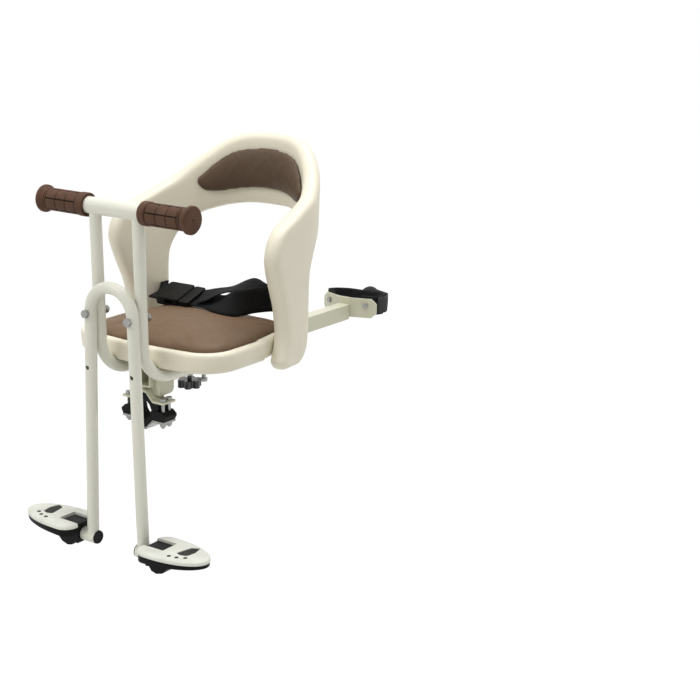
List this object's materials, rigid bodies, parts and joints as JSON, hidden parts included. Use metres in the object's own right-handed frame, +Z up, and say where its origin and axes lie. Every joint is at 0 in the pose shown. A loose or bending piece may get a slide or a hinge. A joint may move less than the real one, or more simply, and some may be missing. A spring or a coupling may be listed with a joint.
{
  "type": "child bicycle seat",
  "caption": "Front-mounted child bicycle seat: padded bucket shell on a bent tube frame with handlebar, folding footrests, frame clamp and rear strap.",
  "frame": {"origin": "centre of the clamp bore that grips the bicycle's frame tube", "axes": "+Z up, -Y the way the child faces, +X the child's left; the clamp bore runs along Y"},
  "size_m": [0.316, 0.6418, 0.5355],
  "materials": {
    "frame_paint": "smooth satin paint",
    "beam_paint": "smooth satin paint",
    "grip_rubber": "matt moulded rubber",
    "black_rubber": "matt moulded rubber",
    "zinc": "bright zinc plate",
    "black_plastic": "fine moulded texture",
    "light_plastic": "smooth moulded",
    "pedal_rubber": "matt moulded rubber",
    "shell_plastic": "smooth satin moulded",
    "leatherette": "fine grain leatherette",
    "webbing": "woven polyester webbing"
  },
  "bodies": {
    "seat_frame": {"handle_bar": "frame_paint", "grip_left": "grip_rubber", "grip_right": "grip_rubber", "frame_tube_left": "frame_paint", "frame_tube_right": "frame_paint", "cross_plate_front": "frame_paint", "cross_plate_rear": "frame_paint", "outer_beam": "beam_paint", "front_bracket": "beam_paint", "clamp_upper_plate": "beam_paint", "clamp_upper_jaw": "black_rubber", "clamp_lower_jaw": "black_rubber", "clamp_lower_plate": "zinc", "clamp_bolts": "zinc", "clamp_nuts": "zinc", "footrest_arch": "frame_paint", "footrest_bolts": "zinc", "footrest_nuts": "zinc", "stub_caps": "black_plastic", "hinge_block_left": "black_plastic", "hinge_block_right": "black_plastic", "hinge_pins": "zinc", "seat_pan": "shell_plastic", "seat_cushion": "leatherette", "pan_screws": "zinc", "seat_shell": "shell_plastic", "back_pad": "leatherette", "shell_screws": "zinc", "weld_nuts": "zinc", "beam_bolt": "zinc", "belt_left": "webbing", "belt_tail": "webbing", "belt_right": "webbing", "belt_screws": "zinc", "buckle_socket": "black_plastic"},
    "pedal_left": {"pedal_base_left": "black_plastic", "pedal_cover_left": "light_plastic", "pedal_grip_left": "pedal_rubber"},
    "pedal_right": {"pedal_base_right": "black_plastic", "pedal_cover_right": "light_plastic", "pedal_grip_right": "pedal_rubber"},
    "rear_support": {"rear_beam": "beam_paint", "rear_plate": "beam_paint", "rear_strap": "webbing", "rear_bolts": "zinc", "rear_nuts": "zinc"},
    "knob": {"star_knob": "black_plastic"},
    "tongue": {"buckle_tongue": "black_plastic"}
  },
  "joints": [
    {"name": "pedal_left_fold", "type": "hinge", "parent": "seat_frame", "child": "pedal_left", "pos_m": [0.076, -0.06613, -0.1655], "axis": [0, -1, 0], "range_deg": [0, 90]},
    {"name": "pedal_right_fold", "type": "hinge", "parent": "seat_frame", "child": "pedal_right", "pos_m": [-0.076, -0.06613, -0.1655], "axis": [0, 1, 0], "range_deg": [0, 90]},
    {"name": "rear_support_slide", "type": "slide", "parent": "seat_frame", "child": "rear_support", "axis": [0, 1, 0], "range_m": [-0.04, 0.06]},
    {"name": "knob_turn", "type": "hinge", "parent": "seat_frame", "child": "knob", "pos_m": [0, 0.0835, 0.015], "axis": [0, 0, 1], "continuous": true},
    {"name": "buckle_slide", "type": "slide", "parent": "seat_frame", "child": "tongue", "axis": [1, 0, 0], "range_m": [0, 0.022], "deforming": ["belt_left", "belt_tail"]}
  ]
}
